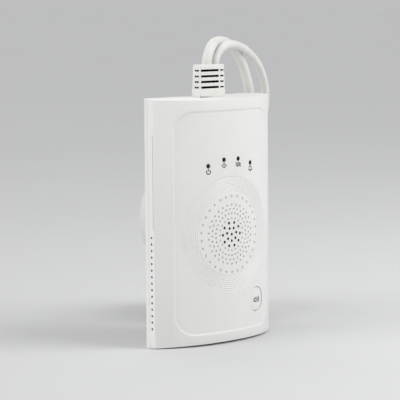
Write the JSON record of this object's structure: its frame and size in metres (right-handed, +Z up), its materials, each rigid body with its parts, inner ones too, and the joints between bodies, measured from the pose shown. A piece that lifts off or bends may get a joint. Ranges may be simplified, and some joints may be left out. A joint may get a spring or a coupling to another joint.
{
  "type": "alarm siren",
  "caption": "Tall wall alarm with a bowed front, a drilled siren grille, dark indicators, a test button, a round twist-on bracket and a ribbed strain relief with its leads on top.",
  "frame": {"origin": "on the surface that the casing stands on, under the middle of the casing and its wall bracket, taken without the leads", "axes": "+Z up along the tall side of the casing, +Y backwards into the wall behind the bracket (the bowed front faces -Y), +X to the right of a viewer who faces the front"},
  "size_m": [0.1197, 0.1008, 0.1491],
  "materials": {
    "white_plastic": "satin moulded ABS, off-white",
    "white_pvc": "soft PVC, slightly greyer off-white",
    "smoked_lens": "dark smoked acrylic light pipe",
    "black_plastic": "black moulded plastic",
    "board_green": "green solder mask and green terminal housing",
    "screw_steel": "bright zinc-plated steel",
    "blade_brass": "brass, lightly rubbed",
    "winding_tape": "amber tape over copper winding",
    "core_laminate": "dark steel and ferrite",
    "cone_paper": "dark pressed paper cone",
    "gasket_foam": "closed-cell foam ring",
    "relay_blue": "blue moulded case",
    "fuse_ceramic": "ceramic tube",
    "led_clear": "clear epoxy"
  },
  "bodies": {
    "casing": {"board_screw_1": "screw_steel", "board_screw_2": "screw_steel", "board_screw_3": "screw_steel", "board_screw_4": "screw_steel", "cable_boot": "white_pvc", "capacitor_1": "black_plastic", "capacitor_2": "black_plastic", "case_screw_1": "screw_steel", "case_screw_2": "screw_steel", "case_screw_3": "screw_steel", "case_screw_4": "screw_steel", "connector_contact": "blade_brass", "front_cover": "white_plastic", "fuse": "fuse_ceramic", "gas_sensor": "screw_steel", "indicator_led_1": "led_clear", "indicator_led_2": "led_clear", "indicator_led_3": "led_clear", "indicator_led_4": "led_clear", "light_pipe_1": "smoked_lens", "light_pipe_2": "smoked_lens", "light_pipe_3": "smoked_lens", "light_pipe_4": "smoked_lens", "main_board": "board_green", "mains_coil": "white_pvc", "mains_coil_tie": "black_plastic", "mains_inner_lead": "white_pvc", "mains_lead": "white_pvc", "mains_tail": "white_pvc", "microcontroller": "black_plastic", "plug_blade_1": "blade_brass", "plug_blade_2": "blade_brass", "plug_body": "white_pvc", "rear_cover": "white_plastic", "relay": "relay_blue", "sensor_base": "black_plastic", "signal_coil": "white_pvc", "signal_coil_tie": "black_plastic", "signal_connector": "black_plastic", "signal_header": "white_plastic", "signal_inner_lead": "white_pvc", "signal_lead": "white_pvc", "signal_tail": "white_pvc", "siren_cone": "cone_paper", "siren_frame": "black_plastic", "siren_gasket": "gasket_foam", "siren_magnet": "core_laminate", "switch_body": "black_plastic", "terminal_block": "board_green", "transformer_core": "core_laminate", "transformer_winding": "winding_tape", "varistor": "relay_blue"},
    "button": {"test_button": "white_plastic", "switch_plunger": "black_plastic"},
    "bracket": {"wall_bracket": "white_plastic"}
  },
  "joints": [
    {"name": "button_slide", "type": "slide", "parent": "casing", "child": "button", "axis": [0, 1, 0], "range_m": [0, 0.0008], "stiffness_N_per_m": 1800, "springref_m": -0.0005},
    {"name": "bracket_twist", "type": "hinge", "parent": "casing", "child": "bracket", "pos_m": [0, 0.01935, 0.06015], "axis": [0, 1, 0], "range_deg": [0, 35]}
  ]
}
